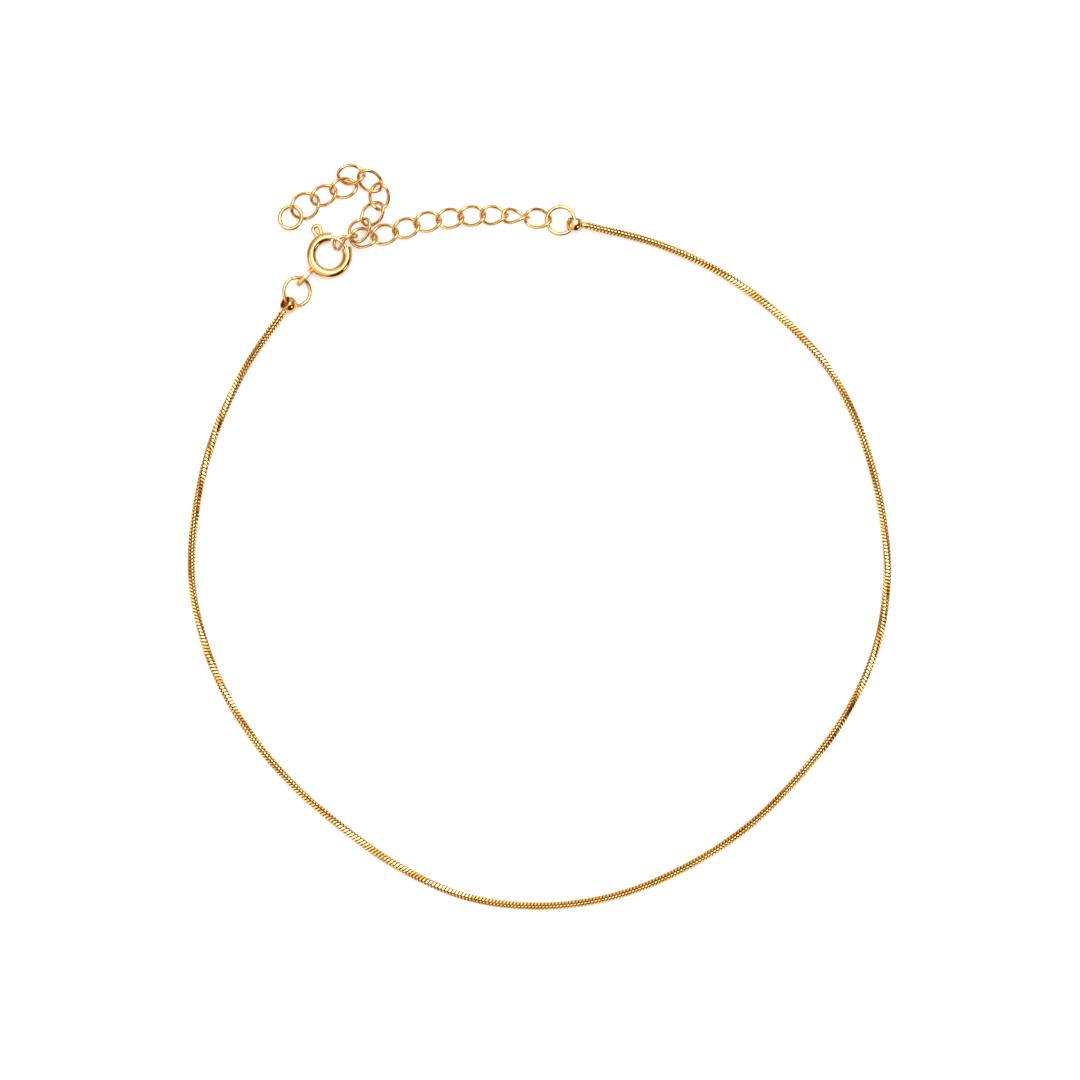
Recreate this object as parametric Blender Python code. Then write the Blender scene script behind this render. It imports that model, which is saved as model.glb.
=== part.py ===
"""Gold anklet, laid out flat: one loop of round snake chain, a spring-ring clasp hooked
into a curb-link extender, and the jump rings and end rings that join them.

Lengths are written in millimetres and turned into metres by MM. The anklet lies on the plane
z = 0 with its longest side along Y. Places are given from a point near its middle, and MIDDLE
is the true middle of its floor area, which becomes the origin.
"""

import math

import bmesh
import bpy
from mathutils import Euler, Matrix, Vector

MM = 0.001
MIDDLE = Vector((-0.025, 0.075, 0.0))
WELD_DISTANCE = 0.0001

# Snake chain: an eight-sided tube whose lowest side lies flat on the plane z = 0
CHAIN_WIDTH = 0.94
CHAIN_SIDES = 8
CHAIN_STEPS = 3
CHAIN_RISE = 9.0

# Curb links of the extender
LINK_LENGTH = 3.56
LINK_WIDTH = 2.66
LAST_LINK_LENGTH = 3.9
LAST_LINK_WIDTH = 3.4
LINK_WIRE = 0.42
LINK_TWIST = 45.0
LINK_FULLNESS = 0.9
LINK_SEGMENTS = 16

# Round rings
JUMP_RING = {"length": 3.8, "width": 3.7, "wire": 0.48, "segments": 24}
CLASP_JUMP_RING = {"length": 3.85, "width": 3.85, "wire": 0.46, "segments": 24}
LAST_RING = {"length": 3.2, "width": 3.05, "wire": 0.48, "segments": 20}
RING_SPLIT = 3.0

# End rings: short barrels soldered to the two ends of the chain
BARREL_DIAMETER = 2.0
BARREL_RIM_DIAMETER = 1.68
BARREL_HOLE_DIAMETER = 1.36
BARREL_WIDTH = 1.3
BARREL_BELLY_WIDTH = 0.5
BARREL_SIDES = 20
NECK_DIAMETER = 0.78
NECK_RESOLUTION = 3
SOLDER_GAP = 0.06

# Spring-ring clasp
CLASP_PLACE = (-25.0, 33.55, 0.85)
CLASP_RADIUS = 2.155
TUBE_DIAMETER = 1.21
TUBE_RESOLUTION = 4
BORE_DIAMETER = 0.8
BORE_RESOLUTION = 3
TUBE_START = 84.0
TUBE_END = 384.0
TUBE_POINTS = 37
BORE_OVERSHOOT = 5.0
BOLT_DIAMETER = 0.44
BOLT_RESOLUTION = 2
BOLT_START = 18.0
BOLT_END = 126.0
BOLT_POINTS = 19
SLOT_WIDTH = 0.6
SLOT_START = 105.0
SLOT_END = 195.0
SLOT_POINTS = 16
TRIGGER_ANGLE = 116.0
TRIGGER_HEIGHT = 1.95
TRIGGER_WIDTH = 1.4
TRIGGER_FOOT = 1.06
TRIGGER_WIRE = 0.52
TRIGGER_LEG = 0.55
TRIGGER_LOOP_TURN = 115.0
TRIGGER_LOOP_POINTS = 11
EYE_ANGLE = 222.0
EYE_REACH = 3.9
EYE_HEADING = 228.0
EYE_LENGTH = 2.68
EYE_HEIGHT = 1.7
EYE_WALL = 0.35
EYE_THICKNESS = 0.6
EYE_POINTS = 20

# The chain's route, from the end at the jump ring, clockwise seen from above, to the end
# at the clasp
CHAIN_ROUTE = [
    # x, y
    (5.6, 37.1),
    (14.0, 34.95),
    (21.9, 31.3),
    (28.95, 26.05),
    (34.75, 19.6),
    (38.5, 11.75),
    (40.7, 3.3),
    (41.35, -5.35),
    (39.8, -13.9),
    (36.0, -21.75),
    (30.65, -28.65),
    (24.4, -34.7),
    (17.05, -39.4),
    (8.95, -42.65),
    (0.35, -43.85),
    (-8.3, -42.85),
    (-16.3, -39.4),
    (-23.5, -34.45),
    (-30.0, -28.7),
    (-35.45, -21.85),
    (-39.3, -14.1),
    (-41.3, -5.6),
    (-40.9, 3.1),
    (-38.9, 11.55),
    (-35.35, 19.55),
    (-30.6, 26.55),
]
CHAIN_END_HEIGHTS = (1.15, 1.2)

# Where each extender link lies: its middle, the heading of its long axis, its roll about
# that axis and its pitch
LINKS = [
    # x, y, z, heading, roll, pitch
    (-0.2, 37.95, 1.0, 177, 8, 7),
    (-2.8, 38.15, 1.2, 174, 54, -3),
    (-5.4, 38.3, 1.0, 178, 22, -7),
    (-8.05, 38.25, 0.75, 184, 0, -1),
    (-10.65, 37.95, 0.75, 188, 0, 2),
    (-13.3, 37.55, 0.75, 191, 0, 2),
    (-15.85, 36.8, 0.75, 198, 0, 3),
    (-18.4, 36.05, 0.85, 195, 0, 4),
    (-20.9, 35.6, 1.1, 180, 13, 2),
    (-23.15, 35.3, 1.3, 206, 73, -26),
    (-21.4, 36.55, 1.35, 58, -5, -11),
    (-19.85, 38.5, 0.8, 49, 0, 0),
    (-19.05, 40.55, 0.7, 93, 0, 0),
    (-20.15, 42.4, 0.75, 144, -3, 3),
    (-22.4, 43.15, 0.75, 180, 4, -4),
    (-23.3, 41.55, 0.8, 191, -4, 4),
    (-25.65, 40.7, 0.7, 206, 0, 0),
    (-27.85, 39.45, 0.84, 213, -1, 0),
]

# Where each ring lies, and the angle in its own plane at which its wire is split
RINGS = [
    # name, x, y, z, heading, roll, pitch, split, sizes
    ("jump_ring_right", 2.5, 37.7, 0.9, 0, 0, 0, 213, JUMP_RING),
    ("jump_ring_left", -28.83, 29.22, 1.01, 88, 25, 4, 25, CLASP_JUMP_RING),
    ("extender_end_ring", -29.6, 38.05, 0.75, 230, 5, 1, 351, LAST_RING),
]

# Where each end ring lies. Its heading points along the chain that it is soldered to
BARRELS = [
    # name, x, y, z, heading, roll, pitch
    ("end_ring_right", 4.15, 37.25, 1.15, 354, -80, -2),
    ("end_ring_left", -29.8, 27.65, 1.2, 239, 52, 0),
]


def clear_scene():
    for item in list(bpy.data.objects):
        bpy.data.objects.remove(item)


def new_collection(name):
    collection = bpy.data.collections.new(name)
    bpy.context.scene.collection.children.link(collection)
    return collection


def metal(name, colour, roughness):
    """A polished plated metal."""
    material = bpy.data.materials.new(name)
    material.use_nodes = True
    shader = material.node_tree.nodes["Principled BSDF"]
    shader.inputs["Base Color"].default_value = (*colour, 1.0)
    shader.inputs["Metallic"].default_value = 1.0
    shader.inputs["Roughness"].default_value = roughness
    return material


def turn(heading, roll, pitch):
    """Roll about X first, then pitch the +X end upwards, then turn to the heading."""
    return Euler((math.radians(roll), -math.radians(pitch), math.radians(heading)), "XYZ")


def place(obj, x, y, z, heading=0.0, roll=0.0, pitch=0.0):
    obj.location = (Vector((x, y, z)) - MIDDLE) * MM
    obj.rotation_euler = turn(heading, roll, pitch)


def wire(name, points, diameter, material, collection, closed=False, resolution=1, tilt=0.0):
    """A round wire through the points. Resolution 1 gives 6 sides, and each step 2 more."""
    curve = bpy.data.curves.new(name, "CURVE")
    curve.dimensions = "3D"
    curve.twist_mode = "Z_UP" if tilt else "MINIMUM"
    curve.bevel_depth = diameter / 2 * MM
    curve.bevel_resolution = resolution
    curve.use_fill_caps = not closed
    spline = curve.splines.new("POLY")
    spline.points.add(len(points) - 1)
    for place_on_spline, point in zip(spline.points, points):
        place_on_spline.co = (*(Vector(point) * MM), 1.0)
        place_on_spline.tilt = tilt
    spline.use_cyclic_u = closed
    spline.use_smooth = True
    curve.materials.append(material)
    obj = bpy.data.objects.new(name, curve)
    collection.objects.link(obj)
    return obj


def plate(name, outlines, thickness, material, collection):
    """A flat plate in the XY plane. Outlines after the first are holes."""
    curve = bpy.data.curves.new(name, "CURVE")
    curve.dimensions = "2D"
    curve.fill_mode = "BOTH"
    curve.extrude = thickness / 2 * MM
    for outline in outlines:
        spline = curve.splines.new("POLY")
        spline.points.add(len(outline) - 1)
        for place_on_spline, (x, y) in zip(spline.points, outline):
            place_on_spline.co = (x * MM, y * MM, 0.0, 1.0)
        spline.use_cyclic_u = True
    curve.materials.append(material)
    obj = bpy.data.objects.new(name, curve)
    collection.objects.link(obj)
    return obj


def as_mesh(obj, collection):
    """The same shape as a welded mesh with its own place applied, in the curve's stead."""
    bpy.context.view_layer.update()
    graph = bpy.context.evaluated_depsgraph_get()
    name = obj.name
    matrix = obj.matrix_world.copy()
    mesh = bpy.data.meshes.new_from_object(obj.evaluated_get(graph))
    shape = bmesh.new()
    shape.from_mesh(mesh)
    bmesh.ops.remove_doubles(shape, verts=shape.verts, dist=WELD_DISTANCE * MM)
    bmesh.ops.recalc_face_normals(shape, faces=shape.faces)
    shape.to_mesh(mesh)
    shape.free()
    bpy.data.objects.remove(obj)
    mesh.name = name
    made = bpy.data.objects.new(name, mesh)
    made.matrix_world = matrix
    collection.objects.link(made)
    return made


def combine(obj, helper, operation):
    """Join a helper to the object, or cut it away, with a live Boolean."""
    helper.hide_render = True
    helper.display_type = "WIRE"
    modifier = obj.modifiers.new(f"{operation.lower()} {helper.name}", "BOOLEAN")
    modifier.operation = operation
    modifier.solver = "EXACT"
    modifier.object = helper


def ring_points(radius, start, end, count, height=0.0):
    """Points along an arc in the XY plane, both ends included."""
    points = []
    for step in range(count):
        angle = math.radians(start + (end - start) * step / (count - 1))
        points.append((radius * math.cos(angle), radius * math.sin(angle), height))
    return points


def oval_points(length, width, count):
    """Points around a closed oval."""
    points = []
    for step in range(count):
        angle = 2 * math.pi * step / count
        points.append((length / 2 * math.cos(angle), width / 2 * math.sin(angle)))
    return points


def full(value):
    """A cosine or sine drawn out a little, which makes an oval fuller at its shoulders."""
    return math.copysign(abs(value) ** LINK_FULLNESS, value)


def curb_link_points(length, width):
    """An oval whose two ends are twisted opposite ways about its long axis."""
    half_length = (length - LINK_WIRE) / 2
    half_width = (width - LINK_WIRE) / 2
    points = []
    for step in range(LINK_SEGMENTS):
        angle = 2 * math.pi * step / LINK_SEGMENTS
        along = full(math.cos(angle))
        across = full(math.sin(angle))
        twist = -math.radians(LINK_TWIST) * along
        points.append((
            half_length * along,
            half_width * across * math.cos(twist),
            half_width * across * math.sin(twist),
        ))
    return points


def smooth_route(route, steps):
    """Points along a Catmull-Rom curve through the route, with its ends drawn out straight."""
    spots = [Vector(spot) for spot in route]
    spots = [2 * spots[0] - spots[1]] + spots + [2 * spots[-1] - spots[-2]]
    points = []
    for index in range(1, len(spots) - 2):
        before, start, end, after = spots[index - 1:index + 3]
        for step in range(steps):
            t = step / steps
            points.append(0.5 * (
                2 * start
                + (end - before) * t
                + (2 * before - 5 * start + 4 * end - after) * t ** 2
                + (3 * start - before - 3 * end + after) * t ** 3
            ))
    return points + [spots[-2]]


def chain_points():
    """The chain's centre line: on the plane, and lifted to its end ring at each end."""
    flat = smooth_route(CHAIN_ROUTE, CHAIN_STEPS)
    travelled = [0.0]
    for before, after in zip(flat, flat[1:]):
        travelled.append(travelled[-1] + (after - before).length)
    low = CHAIN_WIDTH / 2
    points = []
    for spot, distance in zip(flat, travelled):
        height = low
        for end_height, away in zip(CHAIN_END_HEIGHTS, (distance, travelled[-1] - distance)):
            near = max(0.0, 1.0 - away / CHAIN_RISE)
            height += (end_height - low) * near ** 2 * (3 - 2 * near)
        points.append(Vector((spot.x, spot.y, height)) - MIDDLE)
    return points


def build_chain(gold, collection):
    across_corners = CHAIN_WIDTH / math.cos(math.pi / CHAIN_SIDES)
    wire(
        "snake_chain", chain_points(), across_corners, gold, collection,
        resolution=(CHAIN_SIDES - 4) // 2, tilt=math.pi / CHAIN_SIDES,
    )


def build_links(gold, collection):
    sizes = [(LINK_LENGTH, LINK_WIDTH)] * (len(LINKS) - 1) + [(LAST_LINK_LENGTH, LAST_LINK_WIDTH)]
    for number, (size, row) in enumerate(zip(sizes, LINKS), start=1):
        points = curb_link_points(*size)
        link = wire(f"extender_link_{number:02d}", points, LINK_WIRE, gold, collection, closed=True)
        place(link, *row)


def build_rings(gold, collection):
    """Jump rings and the extender's last ring, each a wire bent round to meet itself."""
    for name, x, y, z, heading, roll, pitch, split, size in RINGS:
        points = []
        for step in range(size["segments"] + 1):
            share = step / size["segments"]
            angle = math.radians(split + RING_SPLIT / 2 + (360.0 - RING_SPLIT) * share)
            points.append((
                (size["length"] - size["wire"]) / 2 * math.cos(angle),
                (size["width"] - size["wire"]) / 2 * math.sin(angle),
                0.0,
            ))
        ring = wire(name, points, size["wire"], gold, collection)
        place(ring, x, y, z, heading, roll, pitch)


def barrel_mesh(name, material, collection):
    """A short open barrel about Z with a domed wall, turned from the wall's section."""
    belly, rim, hole = BARREL_DIAMETER / 2, BARREL_RIM_DIAMETER / 2, BARREL_HOLE_DIAMETER / 2
    half_belly, half = BARREL_BELLY_WIDTH / 2, BARREL_WIDTH / 2
    section = [
        (belly, -half_belly), (rim, -half), (hole, -half),
        (hole, half), (rim, half), (belly, half_belly),
    ]
    shape = bmesh.new()
    corners = [shape.verts.new((radius * MM, 0.0, height * MM)) for radius, height in section]
    edges = [
        shape.edges.new((corner, following))
        for corner, following in zip(corners, corners[1:] + corners[:1])
    ]
    bmesh.ops.spin(
        shape, geom=corners + edges, cent=(0, 0, 0), axis=(0, 0, 1), angle=2 * math.pi,
        steps=BARREL_SIDES, use_merge=True,
    )
    bmesh.ops.remove_doubles(shape, verts=shape.verts, dist=WELD_DISTANCE * MM)
    bmesh.ops.recalc_face_normals(shape, faces=shape.faces)
    mesh = bpy.data.meshes.new(name)
    shape.to_mesh(mesh)
    shape.free()
    mesh.materials.append(material)
    obj = bpy.data.objects.new(name, mesh)
    collection.objects.link(obj)
    return obj


def build_barrels(gold, collection, helpers):
    """End rings, each with the blob of solder that reaches towards the end of the chain."""
    route = chain_points()
    ends = (route[0], route[-1])
    inward = (route[1] - ends[0], route[-2] - ends[1])
    for (name, *spot), end, into_chain in zip(BARRELS, ends, inward):
        barrel = barrel_mesh(name, gold, collection)
        place(barrel, *spot)
        centre = Vector(spot[:3]) - MIDDLE
        back = (centre - end).normalized()
        tip = end - into_chain.normalized() * SOLDER_GAP
        root = centre - back * (BARREL_DIAMETER + BARREL_HOLE_DIAMETER) / 4
        neck = wire(
            f"{name}_neck", [root, tip], NECK_DIAMETER, gold, helpers,
            resolution=NECK_RESOLUTION,
        )
        combine(barrel, as_mesh(neck, helpers), "UNION")


def build_clasp_ring(gold, collection, helpers):
    """A bent tube with a slot along its outer side for the trigger and an eye to hang by."""
    arc = ring_points(CLASP_RADIUS, TUBE_START, TUBE_END, TUBE_POINTS)
    ring = wire(
        "clasp_ring", arc, TUBE_DIAMETER, gold, collection, resolution=TUBE_RESOLUTION,
    )
    ring = as_mesh(ring, collection)
    place(ring, *CLASP_PLACE)

    bore_arc = ring_points(
        CLASP_RADIUS, TUBE_START - BORE_OVERSHOOT, TUBE_END + BORE_OVERSHOOT, TUBE_POINTS,
    )
    bore = wire(
        "clasp_bore", bore_arc, BORE_DIAMETER, gold, helpers, resolution=BORE_RESOLUTION,
    )
    bore = as_mesh(bore, helpers)
    place(bore, *CLASP_PLACE)

    outside = ring_points(CLASP_RADIUS + TUBE_DIAMETER, SLOT_START, SLOT_END, SLOT_POINTS)
    inside = ring_points(CLASP_RADIUS, SLOT_END, SLOT_START, SLOT_POINTS)
    outline = [(x, y) for x, y, _ in outside + inside]
    slot = as_mesh(plate("clasp_slot", [outline], SLOT_WIDTH, gold, helpers), helpers)
    place(slot, *CLASP_PLACE)

    eye_outline = oval_points(EYE_LENGTH, EYE_HEIGHT, EYE_POINTS)
    eye_hole = oval_points(EYE_LENGTH - 2 * EYE_WALL, EYE_HEIGHT - 2 * EYE_WALL, EYE_POINTS)
    eye = as_mesh(plate("clasp_eye", [eye_outline, eye_hole], EYE_THICKNESS, gold, helpers), helpers)
    angle = math.radians(EYE_ANGLE)
    centre = Vector(CLASP_PLACE) + EYE_REACH * Vector((math.cos(angle), math.sin(angle), 0))
    place(eye, *centre, heading=EYE_HEADING, roll=90)

    combine(ring, eye, "UNION")
    combine(ring, bore, "DIFFERENCE")
    combine(ring, slot, "DIFFERENCE")


def trigger_points():
    """A hairpin that rises from the bolt through the slot and ends in a round loop."""
    loop_radius = (TRIGGER_WIDTH - TRIGGER_WIRE) / 2
    loop_height = TRIGGER_HEIGHT - TRIGGER_WIRE / 2 - loop_radius
    half_foot = (TRIGGER_FOOT - TRIGGER_WIRE) / 2
    one_side = [(0.0, -half_foot), (TRIGGER_LEG, -half_foot)]
    loop = [
        (loop_height + x, y) for x, y, _ in ring_points(
            loop_radius, -TRIGGER_LOOP_TURN, TRIGGER_LOOP_TURN, TRIGGER_LOOP_POINTS,
        )
    ]
    other_side = [(height, -side) for height, side in reversed(one_side)]
    turned = Matrix.Rotation(math.radians(TRIGGER_ANGLE), 2)
    return [(*(turned @ Vector((CLASP_RADIUS + height, side))), 0.0)
            for height, side in one_side + loop + other_side]


def build_clasp_bolt(gold, collection, helpers):
    """The bolt that closes the ring's mouth, and its trigger. It turns about the ring's axis."""
    arc = ring_points(CLASP_RADIUS, BOLT_START, BOLT_END, BOLT_POINTS)
    bolt = wire(
        "clasp_bolt", arc, BOLT_DIAMETER, gold, collection, resolution=BOLT_RESOLUTION,
    )
    bolt = as_mesh(bolt, collection)
    place(bolt, *CLASP_PLACE)
    trigger = wire("clasp_trigger", trigger_points(), TRIGGER_WIRE, gold, helpers)
    trigger = as_mesh(trigger, helpers)
    place(trigger, *CLASP_PLACE)
    combine(bolt, trigger, "UNION")


def main():
    clear_scene()
    anklet = new_collection("anklet")
    helpers = new_collection("cutters")
    gold = metal("polished_gold", (0.87, 0.62, 0.25), 0.16)
    chain_gold = metal("chain_gold", (0.84, 0.58, 0.22), 0.22)
    build_chain(chain_gold, anklet)
    build_barrels(gold, anklet, helpers)
    build_rings(gold, anklet)
    build_links(gold, anklet)
    build_clasp_ring(gold, anklet, helpers)
    build_clasp_bolt(gold, anklet, helpers)


main()
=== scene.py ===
# %% [markdown]
# # A gold anklet, laid out flat
# The object is one loop of square snake chain, about 218 mm long. Its two ends carry small
# barrel rings. At one end a jump ring joins it to an extender of eighteen curb links, and at
# the other a second jump ring carries a spring-ring clasp, which is hooked into the extender.
# This lesson dresses the solid model of the anklet: each solid is hidden and a finer piece
# takes its place. It is made to the same sizes, but for what a step names, so nothing moves.

# %% Load the solid model
import math

import bmesh
import bpy
import numpy as np
from mathutils import Euler, Matrix, Vector


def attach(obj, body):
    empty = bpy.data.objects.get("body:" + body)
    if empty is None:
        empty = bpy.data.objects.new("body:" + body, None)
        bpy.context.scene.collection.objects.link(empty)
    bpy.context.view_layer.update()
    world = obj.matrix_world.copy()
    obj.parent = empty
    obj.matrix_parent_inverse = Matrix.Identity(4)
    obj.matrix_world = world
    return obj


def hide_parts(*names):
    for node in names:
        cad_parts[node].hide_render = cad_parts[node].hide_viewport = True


MM = 0.001
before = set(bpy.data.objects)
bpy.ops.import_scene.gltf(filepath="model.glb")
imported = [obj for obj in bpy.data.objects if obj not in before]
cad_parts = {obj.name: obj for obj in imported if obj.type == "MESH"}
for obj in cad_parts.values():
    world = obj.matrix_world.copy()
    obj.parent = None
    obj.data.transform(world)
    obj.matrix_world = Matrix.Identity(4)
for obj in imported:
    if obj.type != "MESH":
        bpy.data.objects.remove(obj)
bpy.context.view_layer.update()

# %% [markdown]
# The anklet was photographed from straight above with a long lens, so circles stay circles
# and there is no perspective to speak of. A camera high above the floor with a 200 mm lens
# gives that flat look. One millimetre of the anklet covers 8.4 of the photograph's 1080
# pixels, and that sets how high the camera stands.

# %% Camera
PHOTO_SIDE = 1080
PIXELS_PER_MM = 8.4
LENS = 200.0
SENSOR = 36.0
VIEW_MIDDLE = Vector((0.0845, -0.3726, 0.0))

view_width = PHOTO_SIDE / PIXELS_PER_MM
camera_height = view_width * LENS / SENSOR
camera_data = bpy.data.cameras.new("camera")
camera_data.lens = LENS
camera_data.sensor_width = SENSOR
camera = bpy.data.objects.new("camera", camera_data)
camera.location = (VIEW_MIDDLE + Vector((0, 0, camera_height))) * MM
bpy.context.scene.collection.objects.link(camera)
bpy.context.scene.camera = camera
print(f"the view is {view_width:.1f} mm wide from {camera_height:.0f} mm up")

# %% [markdown]
# Polished metal has hardly any colour of its own: it shows the room. So the light matters
# more here than on any other material. The anklet lies in a light tent, which is bright all
# round and so leaves no shadow. What shapes the metal is where the tent differs: a bright
# panel behind the camera gives each wire its white line, and a dark doorway at the front
# right, with a small lamp in it, gives the brown line beside it. Low down the tent is a
# little browner all round, and its front, left and right walls more so, which gives the
# chain's upright sides their tan. The tent is painted from a table of round patches, each
# laid over the ones above it.

# %% Light tent
TENT_COLOUR = (1.0, 1.0, 1.0)
TENT_PATCHES = [
    # name, azimuth, tilt, radius, blur, colour
    ("horizon", 0, 180, 109, 7, (0.80, 0.68, 0.53)),
    ("front_wall", 180, 90, 36, 12, (0.56, 0.43, 0.29)),
    ("left_wall", 75, 78, 34, 14, (0.44, 0.33, 0.22)),
    ("left_panel", 108, 50, 13, 6, (1.40, 1.60, 2.00)),
    ("right_wall", -88, 84, 34, 12, (0.34, 0.24, 0.16)),
    ("doorway", -143, 61, 36, 7, (0.08, 0.045, 0.03)),
    ("doorway_lamp", -126, 61, 8, 4, (2.20, 2.50, 2.80)),
    ("camera_panel", -37, 22, 23, 7, (2.80, 3.50, 5.50)),
]


def towards(azimuth, tilt):
    """A direction. Azimuth 0 is behind the anklet (+Y), and tilt is from straight up."""
    turn = Matrix.Rotation(math.radians(azimuth), 3, "Z")
    return turn @ Matrix.Rotation(math.radians(-tilt), 3, "X") @ Vector((0, 0, 1))


world = bpy.data.worlds.new("light_tent")
world.use_nodes = True
nodes, links = world.node_tree.nodes, world.node_tree.links
direction = nodes.new("ShaderNodeTexCoord")
painted = nodes.new("ShaderNodeRGB")
painted.outputs["Color"].default_value = (*TENT_COLOUR, 1.0)
colour = painted.outputs["Color"]
for name, azimuth, tilt, radius, blur, patch_colour in TENT_PATCHES:
    closeness = nodes.new("ShaderNodeVectorMath")
    closeness.operation = "DOT_PRODUCT"
    closeness.inputs[1].default_value = towards(azimuth, tilt)
    inside = nodes.new("ShaderNodeMapRange")
    inside.interpolation_type = "SMOOTHSTEP"
    inside.inputs["From Min"].default_value = math.cos(math.radians(radius + blur))
    inside.inputs["From Max"].default_value = math.cos(math.radians(radius - blur))
    patch = nodes.new("ShaderNodeMix")
    patch.label = name
    patch.data_type = "RGBA"
    patch.inputs["B"].default_value = (*patch_colour, 1.0)
    links.new(direction.outputs["Generated"], closeness.inputs[0])
    links.new(closeness.outputs["Value"], inside.inputs["Value"])
    links.new(inside.outputs["Result"], patch.inputs["Factor"])
    links.new(colour, patch.inputs["A"])
    colour = patch.outputs["Result"]
links.new(colour, nodes["Background"].inputs["Color"])
bpy.context.scene.world = world
bpy.context.scene.view_settings.view_transform = "Standard"
bpy.context.scene.view_settings.look = "Medium High Contrast"
print("patches painted on the tent:", len(TENT_PATCHES))

# %% [markdown]
# The floor is a plain pale sheet. It is also what the lower half of every wire mirrors. It
# lies a hair low, because the corners of the chain's beads reach that far below the solid.

# %% Floor
FLOOR_SIDE = 3.0
FLOOR_DROP = 0.05
FLOOR_COLOUR = (0.70, 0.70, 0.69)
FLOOR_GLOW = 0.32
FLOOR_ROUGHNESS = 0.9

floor_material = bpy.data.materials.new("pale_sheet")
floor_material.use_nodes = True
floor_shader = floor_material.node_tree.nodes["Principled BSDF"]
floor_shader.inputs["Base Color"].default_value = (*FLOOR_COLOUR, 1.0)
floor_shader.inputs["Emission Color"].default_value = (1.0, 1.0, 1.0, 1.0)
floor_shader.inputs["Emission Strength"].default_value = FLOOR_GLOW
floor_shader.inputs["Roughness"].default_value = FLOOR_ROUGHNESS
floor_mesh = bpy.data.meshes.new("floor")
sheet = bmesh.new()
bmesh.ops.create_grid(sheet, x_segments=1, y_segments=1, size=FLOOR_SIDE / 2)
sheet.to_mesh(floor_mesh)
sheet.free()
floor_mesh.materials.append(floor_material)
floor = bpy.data.objects.new("floor", floor_mesh)
floor.location.z = -FLOOR_DROP * MM
bpy.context.scene.collection.objects.link(floor)

# %% [markdown]
# The metal is gold plating over brass, polished by tumbling. Two effects are shared by the
# links and the chain, so each is a node group that is built once: faint dimples from the
# tumbling, and a slight reddening of the plating from place to place.

# %% Shared effects
def new_group(name, inputs, outputs):
    """A shader node group whose sockets have names, kinds and starting values."""
    group = bpy.data.node_groups.new(name, "ShaderNodeTree")
    for label, kind, value in inputs:
        socket = group.interface.new_socket(label, in_out="INPUT", socket_type=kind)
        socket.default_value = value
    for label, kind in outputs:
        group.interface.new_socket(label, in_out="OUTPUT", socket_type=kind)
    start = group.nodes.new("NodeGroupInput")
    end = group.nodes.new("NodeGroupOutput")
    return group, start, end


def tumbled_surface_group():
    """Soft dimples and faint scuffs, as a height and a roughness."""
    group, start, end = new_group(
        "tumbled_surface",
        [
            ("Dimple Scale", "NodeSocketFloat", 1400.0),
            ("Scuff Scale", "NodeSocketFloat", 9000.0),
            ("Roughness", "NodeSocketFloat", 0.1),
            ("Roughness Change", "NodeSocketFloat", 0.1),
        ],
        [("Height", "NodeSocketFloat"), ("Roughness", "NodeSocketFloat")],
    )
    nodes, links = group.nodes, group.links
    where = nodes.new("ShaderNodeTexCoord")
    dimples = nodes.new("ShaderNodeTexNoise")
    dimples.inputs["Detail"].default_value = 2.0
    scuffs = nodes.new("ShaderNodeTexNoise")
    scuffs.inputs["Detail"].default_value = 4.0
    scuffs.inputs["Roughness"].default_value = 0.7
    spread = nodes.new("ShaderNodeMath")
    spread.operation = "MULTIPLY_ADD"
    links.new(where.outputs["Object"], dimples.inputs["Vector"])
    links.new(where.outputs["Object"], scuffs.inputs["Vector"])
    links.new(start.outputs["Dimple Scale"], dimples.inputs["Scale"])
    links.new(start.outputs["Scuff Scale"], scuffs.inputs["Scale"])
    links.new(scuffs.outputs["Fac"], spread.inputs[0])
    links.new(start.outputs["Roughness Change"], spread.inputs[1])
    links.new(start.outputs["Roughness"], spread.inputs[2])
    links.new(dimples.outputs["Fac"], end.inputs["Height"])
    links.new(spread.outputs["Value"], end.inputs["Roughness"])
    return group


def plating_group():
    """The plating's colour, which turns a little redder where it is thinner."""
    group, start, end = new_group(
        "plating",
        [
            ("Gold", "NodeSocketColor", (0.93, 0.60, 0.20, 1.0)),
            ("Thin Gold", "NodeSocketColor", (0.86, 0.50, 0.15, 1.0)),
            ("Patch Scale", "NodeSocketFloat", 350.0),
        ],
        [("Color", "NodeSocketColor")],
    )
    nodes, links = group.nodes, group.links
    where = nodes.new("ShaderNodeTexCoord")
    patches = nodes.new("ShaderNodeTexNoise")
    patches.inputs["Detail"].default_value = 3.0
    steps = nodes.new("ShaderNodeMapRange")
    steps.inputs["From Min"].default_value = 0.40
    steps.inputs["From Max"].default_value = 0.75
    mix = nodes.new("ShaderNodeMix")
    mix.data_type = "RGBA"
    links.new(where.outputs["Object"], patches.inputs["Vector"])
    links.new(start.outputs["Patch Scale"], patches.inputs["Scale"])
    links.new(patches.outputs["Fac"], steps.inputs["Value"])
    links.new(steps.outputs["Result"], mix.inputs["Factor"])
    links.new(start.outputs["Gold"], mix.inputs["A"])
    links.new(start.outputs["Thin Gold"], mix.inputs["B"])
    links.new(mix.outputs["Result"], end.inputs["Color"])
    return group


tumbled_surface = tumbled_surface_group()
plating = plating_group()
print("node groups:", tumbled_surface.name, plating.name)
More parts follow.
